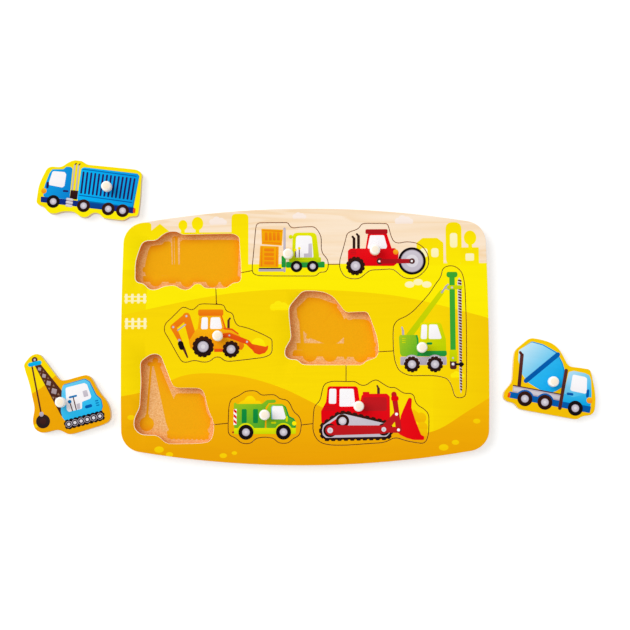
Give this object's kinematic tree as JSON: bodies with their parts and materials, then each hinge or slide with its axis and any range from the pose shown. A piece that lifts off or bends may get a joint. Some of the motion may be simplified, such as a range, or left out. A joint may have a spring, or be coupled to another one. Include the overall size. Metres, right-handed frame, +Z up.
{
  "type": "peg puzzle",
  "caption": "Wooden peg puzzle: a barrel-shaped board with recesses for work vehicles, each a flat sawn piece lifted by a turned knob; some lie beside the board.",
  "frame": {"origin": "centre of the board's underside, on the table that the board lies on", "axes": "+X along the board's length to the right of its picture, +Y towards the picture's top, +Z up out of the picture"},
  "size_m": [0.4655, 0.2524, 0.018],
  "materials": {
    "backing": "bare fibreboard, matt",
    "panel_print": "printed plywood, satin lacquer",
    "piece_print": "printed plywood, satin lacquer",
    "knob": "turned wood, cream satin lacquer"
  },
  "bodies": {
    "board": {"backing_board": "backing", "top_panel": "panel_print"},
    "container_truck": {"container_truck_plate": "piece_print", "container_truck_knob": "knob"},
    "forklift": {"forklift_plate": "piece_print", "forklift_knob": "knob"},
    "road_roller": {"road_roller_plate": "piece_print", "road_roller_knob": "knob"},
    "backhoe_loader": {"backhoe_loader_plate": "piece_print", "backhoe_loader_knob": "knob"},
    "drilling_rig": {"drilling_rig_plate": "piece_print", "drilling_rig_knob": "knob"},
    "wrecking_crane": {"wrecking_crane_plate": "piece_print", "wrecking_crane_knob": "knob"},
    "concrete_mixer": {"concrete_mixer_plate": "piece_print", "concrete_mixer_knob": "knob"},
    "dump_truck": {"dump_truck_plate": "piece_print", "dump_truck_knob": "knob"},
    "bulldozer": {"bulldozer_plate": "piece_print", "bulldozer_knob": "knob"}
  },
  "joints": [
    {"name": "container_truck_lift", "type": "slide", "parent": "board", "child": "container_truck", "axis": [0, 0, 1], "range_m": [0, 0.03]},
    {"name": "forklift_lift", "type": "slide", "parent": "board", "child": "forklift", "axis": [0, 0, 1], "range_m": [0, 0.03]},
    {"name": "road_roller_lift", "type": "slide", "parent": "board", "child": "road_roller", "axis": [0, 0, 1], "range_m": [0, 0.03]},
    {"name": "backhoe_loader_lift", "type": "slide", "parent": "board", "child": "backhoe_loader", "axis": [0, 0, 1], "range_m": [0, 0.03]},
    {"name": "drilling_rig_lift", "type": "slide", "parent": "board", "child": "drilling_rig", "axis": [0, 0, 1], "range_m": [0, 0.03]},
    {"name": "wrecking_crane_lift", "type": "slide", "parent": "board", "child": "wrecking_crane", "axis": [0, 0, 1], "range_m": [0, 0.03]},
    {"name": "concrete_mixer_lift", "type": "slide", "parent": "board", "child": "concrete_mixer", "axis": [0, 0, 1], "range_m": [0, 0.03]},
    {"name": "dump_truck_lift", "type": "slide", "parent": "board", "child": "dump_truck", "axis": [0, 0, 1], "range_m": [0, 0.03]},
    {"name": "bulldozer_lift", "type": "slide", "parent": "board", "child": "bulldozer", "axis": [0, 0, 1], "range_m": [0, 0.03]}
  ]
}
